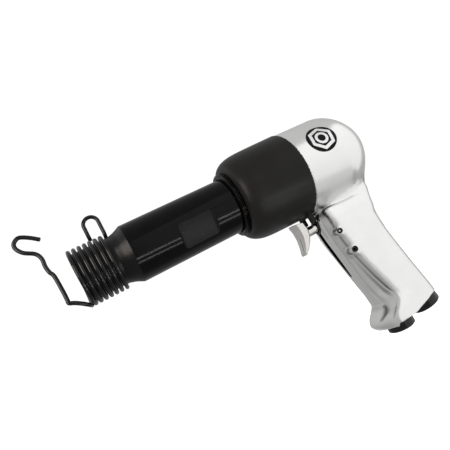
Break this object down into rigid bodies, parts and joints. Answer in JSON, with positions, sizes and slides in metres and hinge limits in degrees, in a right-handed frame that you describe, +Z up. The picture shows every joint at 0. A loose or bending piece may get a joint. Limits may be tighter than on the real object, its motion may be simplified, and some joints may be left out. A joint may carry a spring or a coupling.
{
  "type": "pneumatic air hammer",
  "caption": "Pistol-grip pneumatic hammer: round barrel with coil-spring chisel retainer, ribbed cast handle, plunger trigger, rubber head sleeve and base fittings.",
  "frame": {"origin": "bottom centre of the tool's box at rest, on the vertical plane of symmetry", "axes": "+X along the barrel from the muzzle to the rear of the handle, +Z up with the barrel above and the grip hanging down, +Y completing the right-handed frame, with the badge on the -Y side"},
  "size_m": [0.264, 0.0682, 0.181],
  "materials": {
    "cast_aluminium": "satin, as cast and tumbled bright",
    "black_steel": "black oxide, semi-gloss",
    "black_wire": "black oxide on spring wire",
    "black_rubber": "smooth moulded rubber, satin",
    "polished_steel": "polished",
    "hard_steel": "ground",
    "black_fitting": "black oxide, semi-gloss",
    "brass": "machined",
    "seal_rubber": "moulded",
    "sintered_bronze": "sintered, porous",
    "badge_black": "thin foil plate, printed black and glossy"
  },
  "bodies": {
    "body": {"handle_housing": "cast_aluminium", "barrel": "black_steel", "valve_case": "hard_steel", "valve_cover": "hard_steel", "valve_dowel_upper": "hard_steel", "valve_dowel_lower": "hard_steel", "barrel_seal": "seal_rubber", "rubber_sleeve": "black_rubber", "sleeve_retaining_ring": "black_steel", "retainer_coil": "black_wire", "trigger_bushing": "black_fitting", "trigger_seal": "seal_rubber", "bushing_pin": "hard_steel", "passage_plug_screw": "black_steel", "throttle_seat": "brass", "throttle_spring": "hard_steel", "inlet_bushing": "black_fitting", "inlet_seal": "seal_rubber", "inlet_screen": "brass", "exhaust_muffler": "sintered_bronze", "badge": "badge_black"},
    "trigger": {"trigger_finger": "polished_steel", "trigger_rod": "polished_steel"},
    "throttle": {"throttle_valve": "brass"},
    "striker": {"piston": "hard_steel"},
    "disc_valve": {"valve_disc": "hard_steel"},
    "gate": {"retainer_gate": "black_wire"},
    "deflector": {"exhaust_deflector": "black_fitting", "deflector_ring": "hard_steel"}
  },
  "joints": [
    {"name": "trigger_pull", "type": "slide", "parent": "body", "child": "trigger", "axis": [1, 0, 0], "range_m": [0, 0.0045], "stiffness_N_per_m": 3000, "springref_m": -0.003},
    {"name": "throttle_lift", "type": "slide", "parent": "body", "child": "throttle", "axis": [1, 0, 0], "range_m": [0, 0.0045]},
    {"name": "piston_stroke", "type": "slide", "parent": "body", "child": "striker", "axis": [1, 0, 0], "range_m": [0, 0.0885]},
    {"name": "valve_shuttle", "type": "slide", "parent": "body", "child": "disc_valve", "axis": [1, 0, 0], "range_m": [-0.0016, 0]},
    {"name": "gate_swing", "type": "hinge", "parent": "body", "child": "gate", "pos_m": [-0.10501, 0, 0.121], "axis": [1, 0, 0], "range_deg": [0, 35], "stiffness_Nm_per_rad": 1.2, "springref_deg": -11.46},
    {"name": "deflector_turn", "type": "hinge", "parent": "body", "child": "deflector", "pos_m": [0.1108, 0, 0.004], "axis": [-0.1564, 0, 0.9877], "continuous": true}
  ],
  "couplings": [
    {"joint": "throttle_lift", "follows": "trigger_pull", "ratio": 1}
  ]
}
